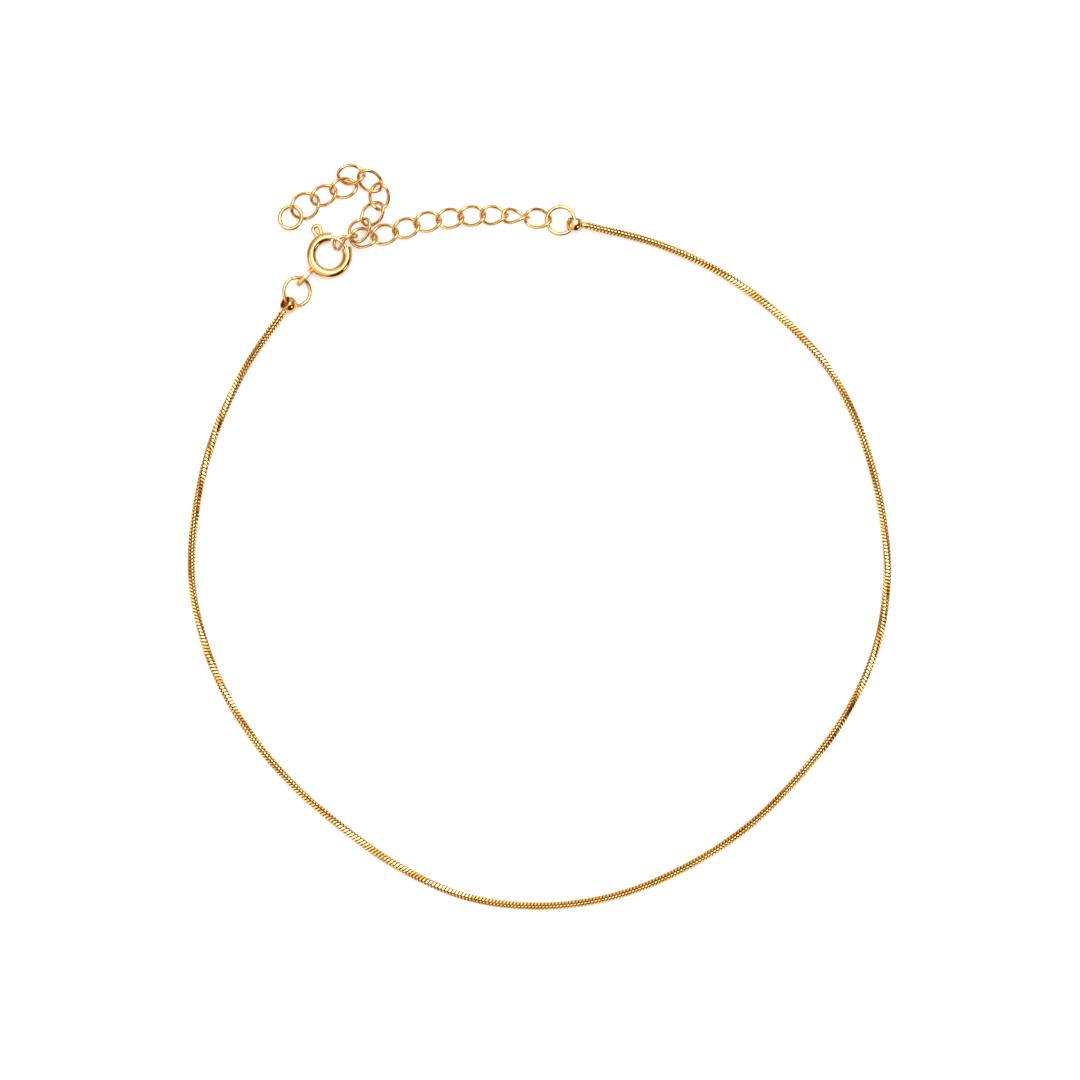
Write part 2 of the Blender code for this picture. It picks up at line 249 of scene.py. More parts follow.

# %% [markdown]
# Each finish is a material of its own with both groups in it. The chain is pressed from thin
# strip, so it is a little duller than the wire. Between its plates and inside the small
# barrels no polishing wheel reaches: there the plating is thin and matt, and it is painted
# dark as painted shade for those hollows.

# %% Materials
def gold_material(name, colour, thin_colour, roughness, change, dimple_depth):
    """A gold finish, redder where the plating is thin and rougher in places by the change."""
    material = bpy.data.materials.new(name)
    material.use_nodes = True
    nodes, links = material.node_tree.nodes, material.node_tree.links
    shader = nodes["Principled BSDF"]
    shader.inputs["Metallic"].default_value = 1.0
    surface = nodes.new("ShaderNodeGroup")
    surface.node_tree = tumbled_surface
    surface.inputs["Roughness"].default_value = roughness
    surface.inputs["Roughness Change"].default_value = change
    colours = nodes.new("ShaderNodeGroup")
    colours.node_tree = plating
    colours.inputs["Gold"].default_value = (*colour, 1.0)
    colours.inputs["Thin Gold"].default_value = (*thin_colour, 1.0)
    bump = nodes.new("ShaderNodeBump")
    bump.inputs["Distance"].default_value = dimple_depth
    links.new(surface.outputs["Height"], bump.inputs["Height"])
    links.new(bump.outputs["Normal"], shader.inputs["Normal"])
    links.new(surface.outputs["Roughness"], shader.inputs["Roughness"])
    links.new(colours.outputs["Color"], shader.inputs["Base Color"])
    return material


polished = gold_material(
    "polished_gold_plate", colour=(0.76, 0.48, 0.18), thin_colour=(0.70, 0.41, 0.125),
    roughness=0.04, change=0.06, dimple_depth=0.012 * MM,
)
pressed = gold_material(
    "pressed_gold_strip", colour=(0.96, 0.66, 0.24), thin_colour=(0.92, 0.56, 0.17),
    roughness=0.05, change=0.12, dimple_depth=0.010 * MM,
)
# painted shade: a darker, matt copy of the gold for the hollows between the plates and inside the
# barrels
painted_shade_recess = gold_material(
    "unpolished_recess_painted_shade", colour=(0.58, 0.28, 0.07), thin_colour=(0.40, 0.17, 0.04),
    roughness=0.24, change=0.20, dimple_depth=0.020 * MM,
)

# %% [markdown]
# Nearly every piece here is a bent round wire. The quickest way to a wire ring is to spin a
# circle round an axis. That gives a plain round ring, and a function then moves its points
# onto the path that the real wire follows, however it is bent.

# %% Bent wire
WIRE_SIDES = 12


def spun_ring(diameter, sides, steps, start=0.0, sweep=360.0):
    """A round section spun about Z at a radius of 1 mm, whole or from start through sweep."""
    shape = bmesh.new()
    upright = Matrix.Translation((MM, 0, 0)) @ Matrix.Rotation(math.pi / 2, 4, "X")
    made = bmesh.ops.create_circle(
        shape, segments=sides, radius=diameter / 2 * MM, matrix=upright, cap_ends=False,
    )
    bmesh.ops.rotate(
        shape, verts=made["verts"], cent=(0, 0, 0),
        matrix=Matrix.Rotation(math.radians(start), 3, "Z"),
    )
    whole = sweep == 360.0
    bmesh.ops.spin(
        shape, geom=shape.verts[:] + shape.edges[:], cent=(0, 0, 0), axis=(0, 0, 1),
        angle=math.radians(sweep), steps=steps, use_merge=whole,
    )
    if not whole:
        bmesh.ops.holes_fill(shape, edges=[e for e in shape.edges if e.is_boundary], sides=0)
    return shape


def follow(shape, path, start=0.0, sweep=360.0):
    """Move a spun ring onto a path, which is a function of the angle in degrees."""
    step = 0.01
    for corner in shape.verts:
        angle = math.degrees(math.atan2(corner.co.y, corner.co.x))
        middle = start + sweep / 2
        angle += 360.0 * round((middle - angle) / 360.0)
        outward = math.hypot(corner.co.x, corner.co.y) - MM
        upward = corner.co.z
        spot = path(angle)
        tangent = (path(angle + step) - path(angle - step)).normalized()
        above = Vector((0, 0, 1))
        above = (above - above.dot(tangent) * tangent).normalized()
        corner.co = spot * MM + tangent.cross(above) * outward + above * upward


def ease(shape, edges, offset, segments):
    """Round some edges off, by an offset in mm."""
    bmesh.ops.bevel(
        shape, geom=edges, offset=offset * MM, segments=segments, affect="EDGES", profile=0.5,
        material=-1,
    )


def as_mesh(shape, name):
    """A mesh made of the bmesh, which is used up."""
    mesh = bpy.data.meshes.new(name)
    shape.to_mesh(mesh)
    shape.free()
    return mesh


def end_rims(shape):
    """The edges round the flat caps at the two ends of a wire."""
    caps = [face for face in shape.faces if len(face.verts) == WIRE_SIDES]
    return list({edge for face in caps for edge in face.edges})


def finish_piece(shape, name, finishes, body="loop", replaced=(), sharp_from=60.0):
    """Make the bmesh an object that rides on a body and hides its solids."""
    bmesh.ops.recalc_face_normals(shape, faces=shape.faces[:])
    mesh = as_mesh(shape, name)
    if sharp_from is not None:
        mesh.shade_smooth()
        mesh.set_sharp_from_angle(angle=math.radians(sharp_from))
    for material in finishes:
        mesh.materials.append(material)
    piece = bpy.data.objects.new(name, mesh)
    bpy.context.scene.collection.objects.link(piece)
    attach(piece, body)
    if replaced:
        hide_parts(*replaced)
    return piece


# The middle of the solids' box, in the mm of the layout. The solid model has it at zero.
MIDDLE = Vector((-0.025, 0.075, 0.0))


def put(shape, x, y, z, heading=0.0, roll=0.0, pitch=0.0):
    """Roll about X, pitch the +X end up, turn to the heading, then move to the place in mm."""
    turned = Euler((math.radians(roll), -math.radians(pitch), math.radians(heading)), "XYZ")
    place = Matrix.Translation((Vector((x, y, z)) - MIDDLE) * MM) @ turned.to_matrix().to_4x4()
    bmesh.ops.transform(shape, matrix=place, verts=shape.verts[:])

# %% [markdown]
# A curb link starts as an oval of round wire. Held at its two ends and twisted, each end
# turns 45 degrees its own way, which is why the links lie so flat against each other. The
# oval is drawn a little full at its shoulders, as the real ones are. The last link of the
# extender is a larger and rounder one.

# %% Curb links
LINK_LENGTH = 3.56
LINK_WIDTH = 2.66
LAST_LINK_LENGTH = 3.9
LAST_LINK_WIDTH = 3.4
LINK_WIRE = 0.42
LINK_TWIST = 45.0
LINK_FULLNESS = 0.9
RING_STEPS = 56

LINKS = [
    # x, y, z, heading, roll, pitch
    (-0.2, 37.95, 1.0, 177, 8, 7),
    (-2.8, 38.15, 1.2, 174, 54, -3),
    (-5.4, 38.3, 1.0, 178, 22, -7),
    (-8.05, 38.25, 0.75, 184, 0, -1),
    (-10.65, 37.95, 0.75, 188, 0, 2),
    (-13.3, 37.55, 0.75, 191, 0, 2),
    (-15.85, 36.8, 0.75, 198, 0, 3),
    (-18.4, 36.05, 0.85, 195, 0, 4),
    (-20.9, 35.6, 1.1, 180, 13, 2),
    (-23.15, 35.3, 1.3, 206, 73, -26),
    (-21.4, 36.55, 1.35, 58, -5, -11),
    (-19.85, 38.5, 0.8, 49, 0, 0),
    (-19.05, 40.55, 0.7, 93, 0, 0),
    (-20.15, 42.4, 0.75, 144, -3, 3),
    (-22.4, 43.15, 0.75, 180, 4, -4),
    (-23.3, 41.55, 0.8, 191, -4, 4),
    (-25.65, 40.7, 0.7, 206, 0, 0),
    (-27.85, 39.45, 0.84, 213, -1, 0),
]


def full(value):
    """A cosine or sine drawn out a little, which makes an oval fuller at its shoulders."""
    return math.copysign(abs(value) ** LINK_FULLNESS, value)


def curb_path(length, width):
    """The middle of the wire of a twisted oval, as a function of the angle."""
    half_length = (length - LINK_WIRE) / 2
    half_width = (width - LINK_WIRE) / 2

    def path(angle):
        along = full(math.cos(math.radians(angle)))
        across = full(math.sin(math.radians(angle)))
        twist = -math.radians(LINK_TWIST) * along
        side = half_width * across
        return Vector((half_length * along, side * math.cos(twist), side * math.sin(twist)))

    return path


link_sizes = [(LINK_LENGTH, LINK_WIDTH)] * (len(LINKS) - 1)
link_sizes.append((LAST_LINK_LENGTH, LAST_LINK_WIDTH))
for number, (size, row) in enumerate(zip(link_sizes, LINKS), start=1):
    link = spun_ring(LINK_WIRE, WIRE_SIDES, RING_STEPS)
    follow(link, curb_path(*size))
    put(link, *row)
    node = f"extender_link_{number:02d}"
    finish_piece(link, f"curb_link_{number:02d}", [polished], replaced=[node])
print("curb links:", len(LINKS))

# %% [markdown]
# Jump rings and the extender's last ring are plain wire bent round until its ends meet. The
# ends never meet quite true: one stands a little higher, and their cut edges show as a small
# step. So the ring is spun two degrees short of a full turn, where the solid's wire stops
# three degrees short. Its ends are capped and eased, and the path carries the two ends a
# hair apart.

# %% Jump rings
JUMP_RING = {"length": 3.8, "width": 3.7, "wire": 0.48}
CLASP_JUMP_RING = {"length": 3.85, "width": 3.85, "wire": 0.46}
LAST_RING = {"length": 3.2, "width": 3.05, "wire": 0.48}
RING_SPLIT = 2.0
SPLIT_STEP = 0.05
SPLIT_SHARPNESS = 6
SPLIT_GROWTH = 0.5
CUT_EASE = 0.06

RINGS = [
    # name, x, y, z, heading, roll, pitch, split, sizes
    ("jump_ring_right", 2.5, 37.7, 0.9, 0, 0, 0, 213, JUMP_RING),
    ("jump_ring_left", -28.83, 29.22, 1.01, 88, 25, 4, 25, CLASP_JUMP_RING),
    ("extender_end_ring", -29.6, 38.05, 0.75, 230, 5, 1, 351, LAST_RING),
]


def split_path(size, split):
    """An oval whose two ends, at the split, stand a little out of line with each other."""
    half_length = (size["length"] - size["wire"]) / 2
    half_width = (size["width"] - size["wire"]) / 2

    def path(angle):
        turned = math.radians(angle)
        past_split = (angle - split) % 360.0 / 360.0
        near_split = abs(2 * past_split - 1) ** SPLIT_SHARPNESS
        apart = SPLIT_STEP * near_split * (1 if past_split < 0.5 else -1)
        grown = 1 + SPLIT_GROWTH * apart
        return Vector((
            half_length * grown * math.cos(turned), half_width * grown * math.sin(turned), apart,
        ))

    return path


for name, x, y, z, heading, roll, pitch, split, size in RINGS:
    start, sweep = split + RING_SPLIT / 2, 360.0 - RING_SPLIT
    ring = spun_ring(size["wire"], WIRE_SIDES, RING_STEPS, start, sweep)
    follow(ring, split_path(size, split), start, sweep)
    ease(ring, end_rims(ring), CUT_EASE, 2)
    put(ring, x, y, z, heading, roll, pitch)
    finish_piece(ring, f"{name}_wire", [polished], replaced=[name])
print("split rings:", len(RINGS))

# %% [markdown]
# The chain's route is the centre line of the solid one: a smooth curve through points laid
# over the photograph, on the floor all the way except where its ends rise to the barrels.

# %% The chain's route
CHAIN_WIDTH = 0.94
CHAIN_RISE = 9.0
CHAIN_END_HEIGHTS = (1.15, 1.2)
CHAIN_STEPS = 40

CHAIN_ROUTE = [
    # x, y
    (5.6, 37.1),
    (14.0, 34.95),
    (21.9, 31.3),
    (28.95, 26.05),
    (34.75, 19.6),
    (38.5, 11.75),
    (40.7, 3.3),
    (41.35, -5.35),
    (39.8, -13.9),
    (36.0, -21.75),
    (30.65, -28.65),
    (24.4, -34.7),
    (17.05, -39.4),
    (8.95, -42.65),
    (0.35, -43.85),
    (-8.3, -42.85),
    (-16.3, -39.4),
    (-23.5, -34.45),
    (-30.0, -28.7),
    (-35.45, -21.85),
    (-39.3, -14.1),
    (-41.3, -5.6),
    (-40.9, 3.1),
    (-38.9, 11.55),
    (-35.35, 19.55),
    (-30.6, 26.55),
]


def smooth_route(route, steps):
    """Points along a Catmull-Rom curve through the route, with its ends drawn out straight."""
    spots = [Vector(spot) for spot in route]
    spots = [2 * spots[0] - spots[1]] + spots + [2 * spots[-1] - spots[-2]]
    points = []
    for index in range(1, len(spots) - 2):
        before, start, end, after = spots[index - 1:index + 3]
        for step in range(steps):
            t = step / steps
            points.append(0.5 * (
                2 * start
                + (end - before) * t
                + (2 * before - 5 * start + 4 * end - after) * t ** 2
                + (3 * start - before - 3 * end + after) * t ** 3
            ))
    return np.array([tuple(point) for point in points + [spots[-2]]])


def travelled(points):
    """The distance along a line of points, from its first point to each."""
    return np.concatenate([[0.0], np.cumsum(np.linalg.norm(np.diff(points, axis=0), axis=1))])


flat_route = smooth_route(CHAIN_ROUTE, CHAIN_STEPS)
flat_distance = travelled(flat_route)
height = np.full(len(flat_route), CHAIN_WIDTH / 2)
from_ends = (flat_distance, flat_distance[-1] - flat_distance)
for end_height, away in zip(CHAIN_END_HEIGHTS, from_ends):
    near = np.clip(1.0 - away / CHAIN_RISE, 0.0, None)
    height += (end_height - CHAIN_WIDTH / 2) * near ** 2 * (3 - 2 * near)
centre_line = np.column_stack([flat_route, height]) - np.array(MIDDLE)
distance = travelled(centre_line)
tangents = np.gradient(centre_line, distance, axis=0)
tangents /= np.linalg.norm(tangents, axis=1, keepdims=True)
lefts = np.cross((0.0, 0.0, 1.0), tangents)
lefts /= np.linalg.norm(lefts, axis=1, keepdims=True)
ups = np.cross(tangents, lefts)
print(f"the chain is {distance[-1]:.1f} mm long")


def along_chain(values, where):
    """A value of the centre line at given distances, also a little past its ends."""
    return np.column_stack([np.interp(where, distance, values[:, axis]) for axis in range(3)])


def bend(mesh):
    """Lay a straight mesh along the chain. Its X is the distance, Y is left and Z is up."""
    spots = np.empty(len(mesh.vertices) * 3)
    mesh.vertices.foreach_get("co", spots)
    spots = spots.reshape(-1, 3) / MM
    where = spots[:, 0]
    past = where - np.clip(where, 0.0, distance[-1])
    bent = along_chain(centre_line, where) + along_chain(tangents, where) * past[:, None]
    bent += along_chain(lefts, where) * spots[:, 1:2] + along_chain(ups, where) * spots[:, 2:3]
    mesh.vertices.foreach_set("co", (bent * MM).ravel())
    mesh.update()

# %% [markdown]
# Snake chain is a stack of little stamped plates, each bent into a ring with a wave in it
# and pushed into the next. From outside it shows slanted bars on four flat sides. At two
# opposite corners the plate stands out in a small bright bead between two pits, and the
# other two corners are plain. The chain turns slowly as it lies, so the row of beads wanders
# from edge to edge. One plate is made by spinning its small section about the chain's axis.
# Its stations are then moved to the places of a table, which gives half of the ring.

# %% One plate
PLATE_PITCH = 0.4155
PLATE_STRIP = 0.37
PLATE_CROWN = 0.27
PLATE_DEPTH = 0.14
PLATE_SAG = 0.035
PLATE_RADIUS = 0.45

PLATE_HALF = [
    # turned from the bead, radius, lean
    (-76, 0.495, 0.03),
    (-31, 0.480, 0.16),
    (-21, 0.405, 0.17),
    (-12, 0.485, -0.02),
    (0, 0.520, -0.04),
    (12, 0.485, -0.06),
    (21, 0.405, -0.25),
    (31, 0.480, -0.23),
    (76, 0.495, -0.04),
]
STATIONS = 2 * len(PLATE_HALF)
BEAD_STATION = 4
PIT_RADIUS = 0.44


def one_plate():
    """A ring about X: a bright crown all round, with matt slopes down to its neighbours, painted
    dark as painted shade.
    """
    shape = bmesh.new()
    edge, crown = PLATE_STRIP / 2, PLATE_CROWN / 2
    section = [
        (-edge, -PLATE_DEPTH), (-crown, -PLATE_SAG), (0.0, 0.0), (crown, -PLATE_SAG),
        (edge, -PLATE_DEPTH),
    ]
    corners = [shape.verts.new((x * MM, 0.0, (PLATE_RADIUS + z) * MM)) for x, z in section]
    sides = [shape.edges.new((a, b)) for a, b in zip(corners, corners[1:] + corners[:1])]
    bmesh.ops.spin(
        shape, geom=corners + sides, cent=(0, 0, 0), axis=(1, 0, 0), angle=2 * math.pi,
        steps=STATIONS, use_merge=True,
    )
    crown_corners, pit_corners, station = set(), set(), {}
    for corner in shape.verts:
        index = round(math.degrees(math.atan2(corner.co.y, corner.co.z)) / 360 * STATIONS)
        station[corner] = index % STATIONS
        turned, radius, lean = PLATE_HALF[index % len(PLATE_HALF)]
        turned += 180 * (index // len(PLATE_HALF))
        out = math.hypot(corner.co.y, corner.co.z) / MM + radius - PLATE_RADIUS
        if abs(corner.co.x) < (edge + crown) / 2 * MM:
            crown_corners.add(corner)
            if radius < PIT_RADIUS:
                pit_corners.add(corner)
        corner.co = Vector((
            corner.co.x / MM + lean,
            out * math.sin(math.radians(turned)),
            out * math.cos(math.radians(turned)),
        )) * MM
    for face in shape.faces:
        on_crown = crown_corners.issuperset(face.verts) and pit_corners.isdisjoint(face.verts)
        # slopes and pits get the darker material: painted shade between the plates
        face.material_index = 0 if on_crown else 1
        face.smooth = on_crown
    for edge in shape.edges:
        stations = {station[corner] for corner in edge.verts}
        edge.smooth = len(stations) > 1 or min(stations) % len(PLATE_HALF) == BEAD_STATION
    bmesh.ops.recalc_face_normals(shape, faces=shape.faces[:])
    return as_mesh(shape, "plate")


plate = one_plate()
print("faces in one plate:", len(plate.polygons))

# %% [markdown]
# The plates are strung in a straight row first, each turned a little further than the last,
# and the row is then laid along the route. The turning is read from the photograph: how far
# the beaded corner has turned from the top towards the outside of the loop, at distances
# along the chain. A thin matt core runs through the plates, so that no light shows between
# them. It is painted dark as painted shade between the plates.

# %% The plates strung and bent
CHAIN_TURNS = [
    # distance, turn
    (0.0, 0),
    (11.9, 18),
    (17.3, 45),
    (23.2, 90),
    (33.3, 135),
    (44.3, 180),
    (57.1, 225),
    (64.9, 270),
    (73.8, 315),
    (83.3, 358),
    (90.5, 371),
    (119.0, 372),
    (130.4, 385),
    (135.7, 405),
    (142.3, 450),
    (150.6, 495),
    (163.1, 540),
    (169.6, 585),
    (174.2, 630),
    (178.6, 675),
    (190.5, 720),
    (197.0, 765),
    (201.2, 810),
    (206.5, 855),
    (217.3, 900),
]
CORE_RADIUS = 0.24
CORE_SIDES = 10
CORE_STEPS = 400

plate_count = round((distance[-1] - PLATE_PITCH) / PLATE_PITCH)
turn_distances, turns = zip(*CHAIN_TURNS)
row = bmesh.new()
for number in range(plate_count):
    where = distance[-1] * (number + 0.5) / plate_count
    turn = math.radians(np.interp(where, turn_distances, turns))
    before = len(row.verts)
    row.from_mesh(plate)
    row.verts.ensure_lookup_table()
    place = Matrix.Translation((where * MM, 0, 0)) @ Matrix.Rotation(-turn, 4, "X")
    bmesh.ops.transform(row, matrix=place, verts=row.verts[before:])
core_middle = Matrix.Translation((distance[-1] / 2 * MM, 0, 0))
core = bmesh.ops.create_cone(
    row, segments=CORE_SIDES, radius1=CORE_RADIUS * MM, radius2=CORE_RADIUS * MM,
    depth=distance[-1] * MM, cap_ends=True,
    matrix=core_middle @ Matrix.Rotation(math.pi / 2, 4, "Y"),
)
long_edges = [
    edge for edge in {edge for corner in core["verts"] for edge in corner.link_edges}
    if edge.calc_length() > distance[-1] / 2 * MM
]
bmesh.ops.subdivide_edges(row, edges=long_edges, cuts=CORE_STEPS, use_grid_fill=True)
# the core gets the darker material too: painted shade between the plates
for face in row.faces[plate_count * len(plate.polygons):]:
    face.material_index = 1
chain_piece = finish_piece(
    row, "snake_chain_plates", [pressed, painted_shade_recess], replaced=["snake_chain"],
    sharp_from=None,
)
bend(chain_piece.data)
chain_triangles = sum(len(face.vertices) - 2 for face in chain_piece.data.polygons)
print("plates:", plate_count, "triangles:", chain_triangles)

# %% [markdown]
# The end rings are short barrels with a domed wall, soldered to the chain by their side. The
# wall's section is spun about the barrel's axis and its edges are eased by a bevel. The
# solder is a short peg that runs from the barrel's wall up to the chain's first plate.

# %% End rings
BARREL_DIAMETER = 2.0
BARREL_RIM_DIAMETER = 1.68
BARREL_HOLE_DIAMETER = 1.36
BARREL_WIDTH = 1.3
BARREL_BELLY_WIDTH = 0.5
BARREL_STEPS = 48
NECK_DIAMETER = 0.78
NECK_SIDES = 24
SOLDER_GAP = 0.06
SHOULDER_EASE = 0.17
RIM_EASE = 0.05
SOLDER_EASE = 0.1

BARRELS = [
    # name, x, y, z, heading, roll, pitch
    ("end_ring_right", 4.15, 37.25, 1.15, 354, -80, -2),
    ("end_ring_left", -29.8, 27.65, 1.2, 239, 52, 0),
]


def barrel():
    """A short ring with a domed wall: polished outside, matt in the hole and painted dark there as
    painted shade.
    """
    belly, rim, hole = BARREL_DIAMETER / 2, BARREL_RIM_DIAMETER / 2, BARREL_HOLE_DIAMETER / 2
    half_belly, half = BARREL_BELLY_WIDTH / 2, BARREL_WIDTH / 2
    section = [
        (belly, -half_belly), (rim, -half), (hole, -half),
        (hole, half), (rim, half), (belly, half_belly),
    ]
    shape = bmesh.new()
    corners = [shape.verts.new((radius * MM, 0.0, height * MM)) for radius, height in section]
    sides = [shape.edges.new((a, b)) for a, b in zip(corners, corners[1:] + corners[:1])]
    bmesh.ops.spin(
        shape, geom=corners + sides, cent=(0, 0, 0), axis=(0, 0, 1), angle=2 * math.pi,
        steps=BARREL_STEPS, use_merge=True,
    )
    # faces in the hole get the darker material: painted shade inside the barrel
    for face in shape.faces:
        spot = face.calc_center_median()
        face.material_index = 1 if math.hypot(spot.x, spot.y) < (hole + rim) / 2 * MM else 0
    bmesh.ops.recalc_face_normals(shape, faces=shape.faces[:])
    shoulders = [
        edge for edge in shape.edges
        if math.radians(25) < edge.calc_face_angle() < math.radians(60)
    ]
    ease(shape, shoulders, SHOULDER_EASE, 4)
    rims = [edge for edge in shape.edges if edge.calc_face_angle() > math.radians(40)]
    ease(shape, rims, RIM_EASE, 3)
    return shape


chain_ends = (Vector(centre_line[0]), Vector(centre_line[-1]))
into_chain = (Vector(tangents[0]), -Vector(tangents[-1]))
for (name, *spot), end, inward in zip(BARRELS, chain_ends, into_chain):
    ring = barrel()
    put(ring, *spot)
    finish_piece(
        ring, f"{name}_barrel", [polished, painted_shade_recess], replaced=[name],
    )
    middle = Vector(spot[:3]) - MIDDLE
    wall_middle = (BARREL_DIAMETER + BARREL_HOLE_DIAMETER) / 4
    root = middle - (middle - end).normalized() * wall_middle
    tip = end + inward * SOLDER_GAP
    neck = bmesh.new()
    bmesh.ops.create_cone(
        neck, segments=NECK_SIDES, radius1=NECK_DIAMETER / 2 * MM, radius2=NECK_DIAMETER / 2 * MM,
        depth=(tip - root).length * MM, cap_ends=True,
        matrix=Matrix.Translation((root + tip) / 2 * MM)
        @ (tip - root).to_track_quat("Z", "Y").to_matrix().to_4x4(),
    )
    rims = [edge for edge in neck.edges if edge.calc_face_angle() > math.radians(40)]
    ease(neck, rims, SOLDER_EASE, 3)
    finish_piece(neck, f"{name}_solder", [polished])
print("end rings:", len(BARRELS))

# %% [markdown]
# The clasp's ring is a thin tube bent round, open at the mouth. The outer wall and the bore
# are spun apart, and bridging their open ends makes the two rims of the mouth. Along the
# tube's outer side runs a slot for the trigger. It is milled in the real one, so here it is
# cut with a Boolean, and the cutter is a flat bar that is spun along the slot. The slot
# starts two degrees earlier than in the solid. There a leg of the trigger runs a few
# hundredths of a millimetre into the slot's end when the bolt is shut, and here it is clear.

# %% Clasp ring
CLASP_PLACE = (-25.0, 33.55, 0.85)
CLASP_RADIUS = 2.155
TUBE_DIAMETER = 1.21
BORE_DIAMETER = 0.8
TUBE_START = 84.0
TUBE_SWEEP = 300.0
TUBE_SIDES = 24
TUBE_STEPS = 100
SLOT_WIDTH = 0.6
SLOT_START = 103.0
SLOT_SWEEP = 92.0
SLOT_STEPS = 46
MOUTH_EASE = 0.05


def circle_path(radius):
    """A flat circle, as a function of the angle."""

    def path(angle):
        turned = math.radians(angle)
        return Vector((radius * math.cos(turned), radius * math.sin(turned), 0.0))

    return path


def open_wall(diameter):
    """One wall of the tube, without its two end caps."""
    wall = spun_ring(diameter, TUBE_SIDES, TUBE_STEPS, TUBE_START, TUBE_SWEEP)
    caps = [face for face in wall.faces if len(face.verts) == TUBE_SIDES]
    bmesh.ops.delete(wall, geom=caps, context="FACES_ONLY")
    follow(wall, circle_path(CLASP_RADIUS), TUBE_START, TUBE_SWEEP)
    return as_mesh(wall, "wall")


def slot_cutter():
    """A flat bar along the tube's outer side."""
    shape = bmesh.new()
    reach = TUBE_DIAMETER
    bar = Matrix.Diagonal((reach * MM, SLOT_WIDTH * MM, 1, 1))
    bmesh.ops.create_grid(
        shape, x_segments=1, y_segments=1, size=0.5,
        matrix=Matrix.Translation(((CLASP_RADIUS + reach / 2) * MM, 0, 0))
        @ Matrix.Rotation(math.pi / 2, 4, "X") @ bar,
    )
    start = Matrix.Rotation(math.radians(SLOT_START), 4, "Z")
    bmesh.ops.transform(shape, matrix=start, verts=shape.verts[:])
    bmesh.ops.spin(
        shape, geom=shape.faces[:], cent=(0, 0, 0), axis=(0, 0, 1), angle=math.radians(SLOT_SWEEP),
        steps=SLOT_STEPS, use_merge=False,
    )
    bmesh.ops.recalc_face_normals(shape, faces=shape.faces[:])
    return shape


def at_mouth(edge):
    """Whether an edge lies in one of the two cut ends of the tube."""
    turns = [math.degrees(math.atan2(corner.co.y, corner.co.x)) % 360 for corner in edge.verts]
    ends = (TUBE_START, (TUBE_START + TUBE_SWEEP) % 360)
    return all(min(abs(turn - end) for end in ends) < 0.5 for turn in turns)


def cut_away(shape, cutter):
    """The shape with the cutter's space taken out of it."""
    work = bpy.data.objects.new("work", as_mesh(shape, "work"))
    tool = bpy.data.objects.new("tool", as_mesh(cutter, "tool"))
    for helper in (work, tool):
        bpy.context.scene.collection.objects.link(helper)
    cut = work.modifiers.new("cut", "BOOLEAN")
    cut.operation = "DIFFERENCE"
    cut.solver = "MANIFOLD"
    cut.object = tool
    bpy.context.view_layer.update()
    graph = bpy.context.evaluated_depsgraph_get()
    cut_mesh = bpy.data.meshes.new_from_object(work.evaluated_get(graph))
    result = bmesh.new()
    result.from_mesh(cut_mesh)
    for helper in (work, tool):
        bpy.data.objects.remove(helper)
    bpy.data.meshes.remove(cut_mesh)
    return result


tube = bmesh.new()
tube.from_mesh(open_wall(TUBE_DIAMETER))
tube.from_mesh(open_wall(BORE_DIAMETER))
outer_count = TUBE_SIDES * TUBE_STEPS
bmesh.ops.reverse_faces(tube, faces=tube.faces[outer_count:])
open_edges = [edge for edge in tube.edges if edge.is_boundary]
between_rims = CLASP_RADIUS / 2 * MM
for at_start in (True, False):
    rim = [edge for edge in open_edges if (edge.verts[0].co.x < between_rims) == at_start]
    bmesh.ops.bridge_loops(tube, edges=rim)
bmesh.ops.recalc_face_normals(tube, faces=tube.faces[:])
tube = cut_away(tube, slot_cutter())
mouth = [
    edge for edge in tube.edges
    if at_mouth(edge) and edge.calc_face_angle() > math.radians(50)
]
ease(tube, mouth, MOUTH_EASE, 3)
print(f"the clasp's tube holds {tube.calc_volume() / MM ** 3:.1f} cubic mm of metal")
put(tube, *CLASP_PLACE)
finish_piece(
    tube, "clasp_ring_tube", [polished], replaced=["clasp_ring"],
    sharp_from=40.0,
)

# %% [markdown]
# The clasp hangs by an eye: a flat strip bent into an upright loop and soldered to the tube.
# Its section is spun into a round loop, squashed to the eye's oval and stood on its edge.

# %% Clasp eye
EYE_ANGLE = 222.0
EYE_REACH = 3.9
EYE_HEADING = 228.0
EYE_LENGTH = 2.68
EYE_HEIGHT = 1.7
EYE_WALL = 0.35
EYE_THICKNESS = 0.6
EYE_STEPS = 48
EYE_EASE = 0.14


def eye_path(angle):
    """A flat oval, as a function of the angle."""
    turned = math.radians(angle)
    return Vector((
        (EYE_LENGTH - EYE_WALL) / 2 * math.cos(turned),
        (EYE_HEIGHT - EYE_WALL) / 2 * math.sin(turned),
        0.0,
    ))


eye = bmesh.new()
half_wall, half_strip = EYE_WALL / 2, EYE_THICKNESS / 2
section = [
    (-half_wall, -half_strip), (half_wall, -half_strip),
    (half_wall, half_strip), (-half_wall, half_strip),
]
corners = [eye.verts.new(((1 + out) * MM, 0.0, up * MM)) for out, up in section]
sides = [eye.edges.new((a, b)) for a, b in zip(corners, corners[1:] + corners[:1])]
bmesh.ops.spin(
    eye, geom=corners + sides, cent=(0, 0, 0), axis=(0, 0, 1), angle=2 * math.pi,
    steps=EYE_STEPS, use_merge=True,
)
follow(eye, eye_path)
long_edges = [edge for edge in eye.edges if edge.calc_face_angle() > math.radians(50)]
ease(eye, long_edges, EYE_EASE, 4)
reach = math.radians(EYE_ANGLE)
eye_spot = Vector(CLASP_PLACE) + EYE_REACH * Vector((math.cos(reach), math.sin(reach), 0))
put(eye, *eye_spot, heading=EYE_HEADING, roll=90)
finish_piece(eye, "clasp_eye", [polished])

# %% [markdown]
# The bolt is a bent wire that slides round inside the tube and closes the mouth. Its trigger
# is a hairpin of the same wire that comes out through the slot. Both ride on the body that
# turns about the ring's axis, so they move when the clasp is opened.

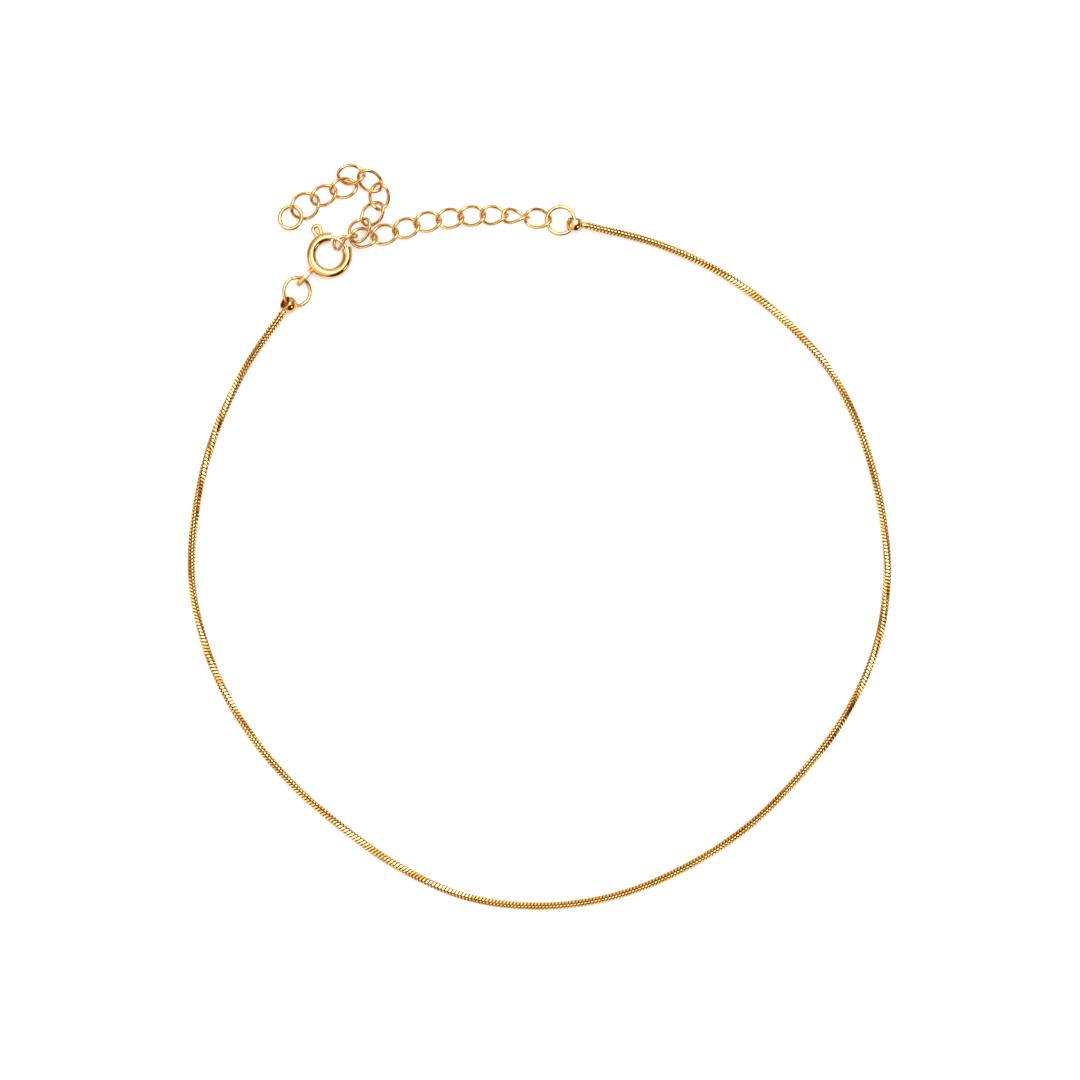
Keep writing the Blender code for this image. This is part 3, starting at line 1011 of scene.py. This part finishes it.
# %% Clasp bolt and trigger
BOLT_DIAMETER = 0.44
BOLT_START = 18.0
BOLT_END = 126.0
BOLT_STEPS = 40
BOLT_EASE = 0.14
TRIGGER_ANGLE = 116.0
TRIGGER_HEIGHT = 1.95
TRIGGER_WIDTH = 1.4
TRIGGER_FOOT = 1.06
TRIGGER_WIRE = 0.52
TRIGGER_LOOP_TURN = 115.0
TRIGGER_STEPS = 64
TRIGGER_GAP = 0.5

bolt_sweep = BOLT_END - BOLT_START
bolt = spun_ring(BOLT_DIAMETER, WIRE_SIDES, BOLT_STEPS, BOLT_START, bolt_sweep)
follow(bolt, circle_path(CLASP_RADIUS), BOLT_START, bolt_sweep)
ease(bolt, end_rims(bolt), BOLT_EASE, 4)
put(bolt, *CLASP_PLACE)
finish_piece(
    bolt, "clasp_bolt_wire", [polished], body="bolt", replaced=["clasp_bolt"],
)


def trigger_path(angle):
    """A hairpin: up one leg, round a loop at the top, and down the other leg."""
    loop_radius = (TRIGGER_WIDTH - TRIGGER_WIRE) / 2
    loop_height = TRIGGER_HEIGHT - TRIGGER_WIRE / 2 - loop_radius
    half_foot = (TRIGGER_FOOT - TRIGGER_WIRE) / 2
    turned = math.radians(min(abs(angle), TRIGGER_LOOP_TURN))
    height = loop_height + loop_radius * math.cos(turned)
    side = loop_radius * math.sin(turned)
    down = max(0.0, abs(angle) - TRIGGER_LOOP_TURN) / (180.0 - TRIGGER_LOOP_TURN)
    side = side + (half_foot - side) * (1 - (1 - down) ** 2)
    return Vector((height * (1 - down), math.copysign(side, angle), 0))


trigger_sweep = 360.0 - TRIGGER_GAP
trigger = spun_ring(TRIGGER_WIRE, WIRE_SIDES, TRIGGER_STEPS, -180.0, trigger_sweep)
follow(trigger, trigger_path, -180.0, trigger_sweep)
turned = math.radians(TRIGGER_ANGLE)
foot = Vector(CLASP_PLACE) + CLASP_RADIUS * Vector((math.cos(turned), math.sin(turned), 0))
put(trigger, *foot, heading=TRIGGER_ANGLE)
finish_piece(trigger, "clasp_trigger", [polished], body="bolt")
